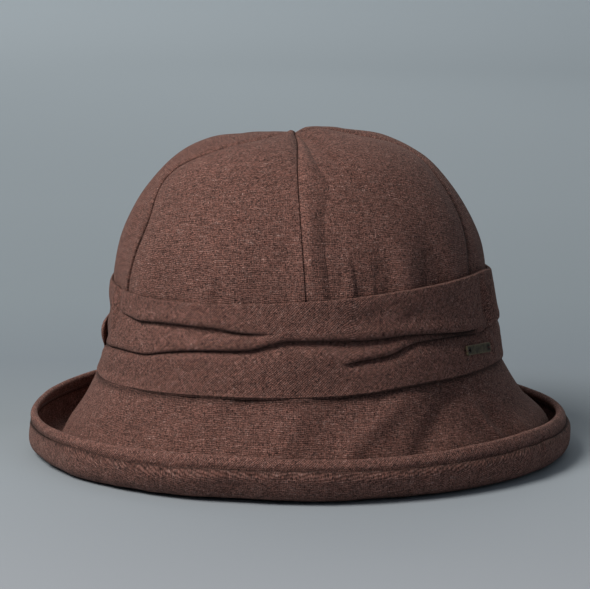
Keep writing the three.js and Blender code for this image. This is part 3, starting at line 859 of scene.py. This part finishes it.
def makeBinding(material):
    azimuth = np.arange(binding["stations"]) * 360 / binding["stations"] - 180
    wall = resample(brimLine(azimuth)[-1 - 2 * lineSteps :], np.linspace(0.06, 1, binding["rows"]))[0]
    near, far, edgePly = binding["gap"], binding["gap"] + binding["ply"], brim["edgePly"]
    middle, outside, inside = edgePly / 2, edgePly / 2 + far, edgePly / 2 + near
    half = np.linspace(0, np.pi, binding["turnRows"] + 2)[1:-1]
    outerTurn, innerTurn = (
        np.concatenate([beside(wall, middle + across * math.cos(a), size * math.sin(a))[-1:] for a in half])
        for across, size in ((outside, outside), (-inside, inside))
    )
    loop = [
        beside(wall, middle + outside),
        outerTurn,
        beside(wall, middle - outside)[::-1],
        beside(wall, middle - outside + binding["ply"] / 2, -0.4)[:1],
        beside(wall, middle - inside)[::3],
        innerTurn,
        beside(wall, middle + inside)[::-3],
        beside(wall, middle + inside + binding["ply"] / 2, -0.4)[:1],
    ]
    loop = np.concatenate(loop)
    base = place(azimuth, loop[..., 0], loop[..., 1])
    center = wall.mean(axis=0)
    outward = (loop - center) / np.linalg.norm(loop - center, axis=-1, keepdims=True)
    over = loop[..., 1] - wall[0, :, 1]  # above the strip's lower edge
    fold = swells(binding["pucker"], base) * bell(over / 4) + swells(binding["wave"], base)
    fold = fold + dents(bindingDents, azimuth, over) * (loop[..., 0] > center[:, 0])
    fold = fold - binding["pinch"] * bell(over / 2)
    outerRows = 2 * binding["rows"] + binding["turnRows"]
    outer = np.arange(len(loop)) < outerRows
    loop = loop + outward * (fold * outer[:, None])[..., None]
    points = place(azimuth, loop[..., 0], loop[..., 1])
    steps = np.linalg.norm(np.diff(loop, axis=0, append=loop[:1]), axis=-1).mean(axis=1)
    up = np.append(0, np.cumsum(steps))
    laid = together(np.radians(np.append(azimuth, 180)) * binding["edgeRadius"], up[:, None])

    # a painted highlight along its top and painted shade along its lower edge
    top, over = (loop[..., 1] - wall[row, :, 1] for row in (-1, 0))
    paintedLight = binding["topHighlight"] * bell((top - 1) / 1.6) - binding["edgeDark"] * bell(over / 1.4)
    piece = clothPiece("linen_binding", points, laid, paintedLight, "binding_linen", material)
    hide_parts("brim_binding")
    stitched = outerRows - binding["stitchedRow"]
    outward = place(azimuth, outward[stitched, :, 0], outward[stitched, :, 1])
    return place(azimuth, *loop[stitched].T), outward


# Band: one strip of cloth cut on the bias, draped in three pleats round the crown's foot
band = {
    "ply": 1.5,
    "clearance": 0.45,  # from the crown and the brim behind it
    "bottomRoll": 1.3,  # radii of its rolled edges
    "topRoll": 0.8,
    "stations": 640,
    "loopStations": 150,  # more of them where the loop is
    "rows": 20,  # between two creases
    "rollRows": 5,
    "backRows": 14,
    "cutRadius": 98,  # it is cut as long as a ring of this radius
    "overhang": 0.42,  # how far a pleat hangs over the crease below it, as a share of the crease's depth
    "lobe": 0.14,  # how far a pleat bulges over a crease, as a share of its depth
    "lift": 0.26,  # what is added to a crease's height for the overhang, as a share of its depth
    "wave": (0.35, (22, 22, 7), 11),
    "rumple": (0.16, (7, 7, 5), 12),
    "foldShade": 0.46,  # painted shade: how dark a crease is for each millimetre of its depth
    "darkDepth": 2.2,  # and a deeper one is no darker
    "underShadow": (1.9, 0.9),  # painted shadow along the lower edge, from its back to its front, as a depth
}
bandRows = table(
    "azimuth top bottom topLoft bottomLoft",
    (-180, 88.5, 44, 2, 7.8),
    (-150, 88, 42.5, 2, 7.6),
    (-110, 87, 40.8, 1.8, 7.4),
    (-90, 86.6, 39.6, 1.4, 7.4),
    (-83, 86.6, 39.4, 2, 7.4),
    (-77, 86.6, 39.3, 2.9, 7.3),
    (-71, 86.6, 39.4, 2.8, 7.3),
    (-67.6, 85.2, 39.5, 1.5, 7.3),
    (-65, 86, 39.7, 1.9, 7.3),
    (-60, 85.8, 40, 1.8, 7.3),
    (-50, 85.7, 40.9, 2.2, 7),
    (-20, 87.5, 43.2, 2.2, 6.8),
    (10, 90.3, 44.5, 2.2, 7.2),
    (40, 93.3, 47.9, 2.4, 8.4),
    (70, 94.4, 48.2, 2.4, 9),
    (88, 91.2, 47.6, 2.4, 9.2),
    (110, 89.6, 46.6, 2.4, 8.8),
    (145, 89, 45, 2.2, 8),
)
bandCreases = (  # from the lowest; the cloth comes out again over the millimetres of spread below a crease
    table(
        "azimuth height depth spread",
        (-180, 56.5, 3, 4.6),
        (-150, 59, 3, 4.6),
        (-125, 57, 0, 4.6),
        (-100, 47.5, 0, 4.6),
        (-60, 49, 0, 4.6),
        (-10, 54, 0, 4),
        (11, 59.4, 0, 3.4),
        (13.4, 60.2, 1.6, 3.4),
        (16, 60.9, 3.4, 3.4),
        (25, 62.9, 3.9, 3.4),
        (31, 66.1, 4, 3.6),
        (36, 67.4, 3.9, 3.8),
        (47, 67.1, 3.6, 4.2),
        (60, 65.9, 3.4, 4.6),
        (66, 66.7, 3.2, 4),
        (79, 68, 2.4, 4),
        (105, 71, 2.8, 4.6),
        (125, 73, 0, 4.6),
        (158, 57, 0, 4.6),
    ),
    table(
        "azimuth height depth spread",
        (-180, 69, 3.6, 6.5),
        (-145, 73, 3, 6),
        (-122, 73, 0, 4),
        (-104, 53, 0, 3),
        (-92, 53, 0, 3),
        (-88, 53.1, 1.4, 2.6),
        (-84, 53.5, 1.8, 2.2),
        (-72, 56.2, 1.7, 2),
        (-62, 57.5, 1.8, 2),
        (-51, 58.2, 1.8, 2),
        (-42, 61, 1.9, 2.2),
        (-32, 63.8, 2.2, 2.6),
        (-23, 65, 2.7, 3.2),
        (-15, 66, 3.2, 3.8),
        (-7.6, 69.3, 3.6, 4.2),
        (-4, 70.9, 3.8, 4.4),
        (5, 71.1, 3.8, 4.4),
        (18, 70.7, 3.8, 4.2),
        (31, 71.4, 3.8, 3.6),
        (44, 70.1, 3.6, 2.8),
        (53, 68.7, 3.2, 2.4),
        (59, 68.3, 2.2, 2),
        (63, 69.5, 0, 2),
        (90, 76, 0, 5),
        (125, 79, 0, 6.5),
        (150, 72, 3, 6.5),
    ),
    table(
        "azimuth height depth spread",
        (-180, 80, 0, 6),
        (-100, 80, 0, 6),
        (-72, 76.5, 0, 4),
        (-64, 74.8, 0.8, 4),
        (-59.7, 74.2, 1.6, 4),
        (-53.6, 73.6, 2.3, 4.2),
        (-49, 74.2, 2.8, 4.4),
        (-40, 75.2, 3.2, 5),
        (-26, 75.3, 3.2, 5),
        (-20, 74.4, 2.6, 4),
        (-15, 73.8, 1.8, 3),
        (-10, 73.9, 0.8, 3),
        (-5, 75, 0, 3),
        (20, 80, 0, 6),
        (60, 84, 0, 6),
        (120, 83.5, 0, 6),
    ),
)
bandDents = table(
    "azimuth height out halfAngle halfHeight lean",
    (-105, 57.5, 2, 8, 7, 0),  # the loop of cloth at the left
    (-88, 58.5, -2.2, 6, 5, 0),
    (-79, 57.5, -1.5, 6, 5.5, 0),
    (-88, 71, -1.6, 14, 8, 0),  # slack cloth over it
    (-76, 73, -0.7, 2.2, 9, 0.1),
    (-71.8, 74, 0.9, 1.8, 9, 0.1),
    (-67.8, 73, -0.8, 1.8, 7, 0.1),
    (-67.6, 85, -0.8, 1.6, 3, 0),
    (66.6, 80, -1.7, 1.3, 13, 0),  # folds at the right
    (69.2, 79, 1.8, 1.2, 14, 0),
    (72.4, 78, -0.8, 1.3, 12, 0),
    (78, 72, 1.6, 4.5, 22, 0),
    (66.5, 58, -0.6, 1.4, 5, -0.2),
    (70, 57, 0.8, 2.4, 7, -0.2),
    (20, 82, -0.5, 4, 5, 0.8),
    (33, 80, -0.6, 4, 5, 0.8),
    (48, 82, -0.5, 5, 6, 0.6),
    (-35, 66, 0.5, 8, 4, 0),
)
bandLoop = {"height": 57, "half": 8.6, "fade": 3.5}  # fade is in degrees
loopPlan = table(  # where the cloth runs round the loop and into its slit, seen from above
    "azimuth x y",
    (-112, -89.5, 37),
    (-107, -94.6, 29),
    (-103, -98, 21),
    (-100, -99.9, 13.5),
    (-98, -100.1, 8),
    (-96.8, -99.6, 5.2),
    (-96, -98.9, 4.3),
    (-95.4, -98.2, 5.2),
    (-94.6, -97.7, 9),
    (-93.8, -97.2, 13.5),
    (-93, -96.2, 16.8),
    (-92.2, -95, 15.4),
    (-91.4, -94.5, 10),
    (-90.4, -94.5, 4),
    (-89.2, -94.9, -0.6),
    (-87.8, -95.4, -4),
    (-86, -95.6, -7),
)


def backingRadius(azimuth, height):
    # the outside of what lies behind the band: the crown's wall and, below the seam, the flaring brim
    line, _ = resample(brimLine(azimuth)[: 3 * lineSteps + 1], np.linspace(0, 1, 40))
    radius = np.array([
        np.interp(-height[:, k], -line[:, k, 1], line[:, k, 0]) for k in range(len(azimuth))
    ]).T
    return np.where(height >= crown["seamHeight"], crownOutline["radius"][0] * oval(azimuth), radius)


def bandLines(azimuth):
    # the band's outside: its radii and heights, and the shade painted onto each point, darkest in the
    # creases
    edge = {column: around(bandRows, column, azimuth) for column in bandRows}
    depths = [around(track, "depth", azimuth) for track in bandCreases]
    tracks = [around(track, "height", azimuth) for track in bandCreases]
    tracks = [track + band["lift"] * depth for track, depth in zip(tracks, depths)]
    levels = [edge["bottom"] + band["bottomRoll"], *tracks, edge["top"] - band["topRoll"]]
    share = np.arange(band["rows"]) / band["rows"]
    share = (share - 0.13 * np.sin(2 * np.pi * share))[:, None]  # closer together beside the creases
    height = np.concatenate([*(mix(a, b, share) for a, b in zip(levels, levels[1:])), levels[-1][None]])
    up = (height - edge["bottom"]) / (edge["top"] - edge["bottom"])
    loft = mix(edge["bottomLoft"], edge["topLoft"], up)
    radius = crownOutline["radius"][0] * oval(azimuth) + loft
    drop, paintedShade = 0 * height, 0 * height
    for track, level, depth in zip(bandCreases, tracks, depths):
        over = height - level
        radius = radius - depth * bell(over / np.where(over > 0, 0.65, around(track, "spread", azimuth)))
        radius = radius + depth * band["lobe"] * bell((over - 2.6) / 2.4)
        drop = drop + depth * band["overhang"] * bell((over - 0.7) / 0.85)
        paintedShadeReach = np.where(over > 0, 0.2 + 0.17 * depth, 0.3 + 0.36 * depth)
        paintedShade = paintedShade + np.minimum(depth, band["darkDepth"]) * bell(over / paintedShadeReach)
    soft = dents(bandDents, azimuth, height)
    radius = radius + soft
    # painted paler where a dent rises and darker where it sinks
    paintedShade = paintedShade - 0.15 * soft
    base = place(azimuth, radius, height)
    # smooth beneath the plate
    quiet = 1 - bell(nearest(plate["azimuth"], azimuth) / 9) * bell((height - plate["height"]) / 6)
    radius = radius + quiet * (swells(band["wave"], base) + swells(band["rumple"], base))
    radius = np.maximum(radius, backingRadius(azimuth, height) + band["clearance"] + band["ply"] / 2)
    return radius, height - drop, paintedShade


def makeBand(material):
    spread = np.linspace(0, 1, band["stations"], endpoint=False) * 360 - 180
    extra = np.linspace(-112, -84, band["loopStations"])
    azimuth = np.unique(np.round(np.concatenate([spread, extra]), 3))
    radius, height, paintedShade = bandLines(azimuth)

    # the edges roll inwards, and the lower one is painted dark as shadow
    rolled = band["rollRows"]
    turn = np.linspace(0, np.pi / 2, rolled, endpoint=False)[:, None]
    bottomRadius, bottomHeight = band["bottomRoll"] * (1 - np.sin(turn)), band["bottomRoll"] * np.cos(turn)
    topRadius, topHeight = band["topRoll"] * (1 - np.cos(turn[1:])), band["topRoll"] * np.sin(turn[1:])
    radii = np.concatenate([radius[0] - bottomRadius, radius, radius[-1] - topRadius])
    heights = np.concatenate([height[0] - bottomHeight, height, height[-1] + topHeight])
    under = paintedShade[:1] + np.linspace(*band["underShadow"], rolled)[:, None]
    paintedShade = np.concatenate([under, paintedShade, np.repeat(paintedShade[-1:], rolled - 1, 0)])

    # the loop at the left
    first, last = loopPlan["azimuth"][[0, -1]]
    inLoop = ease((azimuth - first) / bandLoop["fade"]) * ease((last - azimuth) / bandLoop["fade"])
    inLoop = inLoop * np.maximum(0, 1 - ((heights - bandLoop["height"]) / bandLoop["half"]) ** 2)
    points = place(azimuth, radii, heights)
    for axis, column in enumerate("xy"):
        plan = follow(loopPlan["azimuth"], loopPlan[column], np.clip(azimuth, first, last))
        points[..., axis] = mix(points[..., axis], plan, inLoop)

    # the back follows the crown and the brim, so the pleats are filled in behind
    inner = mix(heights[-1], heights[0], np.linspace(0, 1, band["backRows"])[:, None])
    innerRadius = backingRadius(azimuth, inner) + band["clearance"]
    points = np.concatenate([points, place(azimuth, innerRadius, inner)])
    steps = np.hypot(np.diff(radii, axis=0), np.diff(heights, axis=0))
    up = np.concatenate([0 * steps[:1], np.cumsum(steps, axis=0)])
    up = np.concatenate([up, up[-1] + np.arange(1, band["backRows"] + 2)[:, None] * 3.0])
    up = np.concatenate([up, up[:, :1]], axis=1)
    laid = together(np.radians(np.append(azimuth, 180)) * band["cutRadius"], up)
    paintedLight = np.concatenate([-band["foldShade"] * paintedShade, np.zeros((band["backRows"], len(azimuth)))])
    piece = clothPiece("linen_band", points, laid, paintedLight, "band_linen", material)
    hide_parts("hat_band")


# Plate: a CAD solid whose edges are rounded here, sewn on through its holes
plate = {
    "azimuth": 58.4,
    "height": 59.2,
    "lean": 12,  # degrees; its top tips towards the crown
    "tilt": -4,
    "length": 23,
    "width": 4.7,
    "thickness": 1.1,
    "hole": 0.85,  # radius
    "holeShadeAndDirt": 1.95,  # radius out to which a hole's painted shade fades into dirt
    "holeInset": 2.3,
    "rounding": 0.22,
}


def makePlate(material, sewing):
    mesh = bpy.data.meshes.new("brass_plate")
    shape = bmesh.new()
    shape.from_mesh(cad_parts["badge_plate"].data)
    bmesh.ops.remove_doubles(shape, verts=shape.verts, dist=0.01 * mm)
    bmesh.ops.dissolve_limit(shape, angle_limit=math.radians(1), verts=shape.verts, edges=shape.edges)
    sharp = [edge for edge in shape.edges if edge.calc_face_angle(0) > math.radians(40)]
    size = {"offset": plate["rounding"] * mm, "segments": 3, "profile": 0.5}
    bmesh.ops.bevel(shape, geom=sharp, affect="EDGES", clamp_overlap=True, **size)
    bmesh.ops.triangulate(shape, faces=shape.faces)
    shape.to_mesh(mesh)
    shape.free()

    # its own coordinates in millimetres, from its middle: along, up and out
    turns = ((plate["azimuth"], "Z"), (90 - plate["lean"], "X"), (plate["tilt"], "Z"))
    turn = Matrix.Identity(3)
    for angle, axis in turns:
        turn = turn @ Matrix.Rotation(math.radians(angle), 3, axis)
    turn = np.array(turn)
    laid = np.array([vertex.co for vertex in mesh.vertices]) @ turn / mm
    middle = (laid.min(axis=0) + laid.max(axis=0)) / 2
    mesh.attributes.new("laid", "FLOAT_VECTOR", "POINT").data.foreach_set("vector", np.ravel(laid - middle))
    piece = finishPiece(bpy.data.objects.new("brass_plate", mesh), "aged_brass", material)
    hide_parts("badge_plate")

    # two strands at each hole, over the nearer end
    lines = []
    for side in (-1, 1):
        x = side * (plate["length"] / 2 - plate["holeInset"] * 0.42)
        strands = [(x, y, plate["thickness"] / 2 - 0.1) for y in (-0.3, 0.3)]
        lines.append(((np.array(strands) + middle) @ turn.T, False))
    outward = np.tile(turn[:, 2], 4)
    changes = {"pitch": 0.6, "length": 3.2, "thickness": 0.4, "dip": 0.5, "turns": 1}
    sew("plate_stitches", lines, outward, "band_linen", sewing, **changes)


# Floor and lights
studio = {
    "flat": 3000,  # mm; the floor is flat this far out, then sweeps up all round
    "bend": 1400,
    "sectors": 96,
    "paintedFalloff": (  # the paper's colour by mm behind the hat: painted light falloff, darker just behind it and paler far away
        (-300, "#9FA6AD"), (-60, "#99A3AA"), (60, "#8D979D"), (230, "#87929A"),
        (440, "#919DA4"), (900, "#9DA9B0"), (1700, "#A8B4BB"), (3000, "#BECAD1"),
    ),
}


def studioPaper():
    # matt paper with painted light falloff: darker behind the hat and paler far away
    material, add = newMaterial("studio_paper")
    first, last = studio["paintedFalloff"][0][0], studio["paintedFalloff"][-1][0]
    behind = add("TexCoord").outputs["Object"]
    behind = add("SeparateXYZ", {0: behind}).outputs["Y"]
    behind = add("MapRange", {"Value": behind, "From Min": first * mm, "From Max": last * mm})
    ramp = add("ValToRGB", {0: behind})
    stops = ramp.color_ramp.elements
    while len(stops) < len(studio["paintedFalloff"]):
        stops.new(1)
    for stop, (y, tone) in zip(stops, studio["paintedFalloff"]):
        stop.position = (y - first) / (last - first)
        stop.color = fromHex(tone)
    look = {"Base Color": ramp, "Roughness": 0.9, "Specular IOR Level": 0.2}
    add("OutputMaterial", {"Surface": add("BsdfPrincipled", look)})
    return material


def makeStudio():
    count = studio["sectors"]
    azimuth = np.arange(count) * 360 / count
    sweep = np.radians(np.linspace(0, 80, 13))[:, None]
    radius, height = studio["flat"] + studio["bend"] * np.sin(sweep), studio["bend"] * (1 - np.cos(sweep))
    rings = place(azimuth, radius, height)
    points = np.concatenate([[(0, 0, 0)], rings.reshape(-1, 3)])
    sides = [(i + 1, (i + 1) % count + 1) for i in range(count)]
    faces = [(0, a, b) for a, b in sides]
    for low in range(0, (len(rings) - 1) * count, count):
        faces += [(a + low, a + low + count, b + low + count, b + low) for a, b in sides]
    mesh = bpy.data.meshes.new("floor")
    mesh.from_pydata((points * mm).tolist(), [], faces)
    mesh.polygons.foreach_set("use_smooth", [True] * len(faces))
    mesh.materials.append(studioPaper())
    floor = bpy.data.objects.new("floor", mesh)
    bpy.context.scene.collection.objects.link(floor)


lights = {
    "key": {"at": (-1050, -780, 1500), "to": (0, 0, 60), "size": 800, "power": 36, "color": "#FFF8F2"},
    "fill": {"at": (1200, -1300, 700), "to": (0, 0, 60), "size": 1200, "power": 1.5, "color": "#EEF3FF"},
    "back": {
        "at": (500, 1900, 900), "to": (0, 0, 60), "size": 1400, "spread": 80, "power": 1.4,
        "color": "#FBF8F5",
    },
    "far_floor": {
        "at": (-900, 2500, 1900), "to": (-500, 3300, 0), "size": 2400, "power": 26,
        "color": "#FFFAF5",
    },
}
air = {"color": "#C9D1DA", "strength": 0.25}


def makeLights():
    world = bpy.data.worlds.new("studio_air")
    bpy.context.scene.world = world
    world.use_nodes = True
    sky = world.node_tree.nodes["Background"].inputs
    sky["Color"].default_value = fromHex(air["color"])
    sky["Strength"].default_value = air["strength"]
    for name, light in lights.items():
        data = bpy.data.lights.new(name, "AREA")
        data.size = light["size"] * mm
        data.energy = light["power"]
        data.color = fromHex(light["color"])[:3]
        data.spread = math.radians(light.get("spread", 180))
        lamp = bpy.data.objects.new(name, data)
        lamp.location = Vector(light["at"]) * mm
        lamp.rotation_euler = (Vector(light["to"]) - Vector(light["at"])).to_track_quat("-Z", "Y").to_euler()
        lamp.visible_camera = False
        bpy.context.scene.collection.objects.link(lamp)
    bpy.context.scene.view_settings.view_transform = "Standard"


makeCamera()
straightLinen, biasLinen = linen("slubby_linen"), linen("slubby_linen_on_the_bias", -45)
print("materials made")
makeCrown(straightLinen)
print("crown made")
makeBrim(straightLinen)
sewing = sewingThread()
seam, outward = makeBinding(biasLinen)
sew("binding_stitches", [(seam, True)], outward, "binding_linen", sewing)
print("brim and binding made")
makeBand(biasLinen)
print("band made")
makePlate(agedBrass(), sewing)
print("plate made")
makeStudio()
makeLights()
print("studio made")
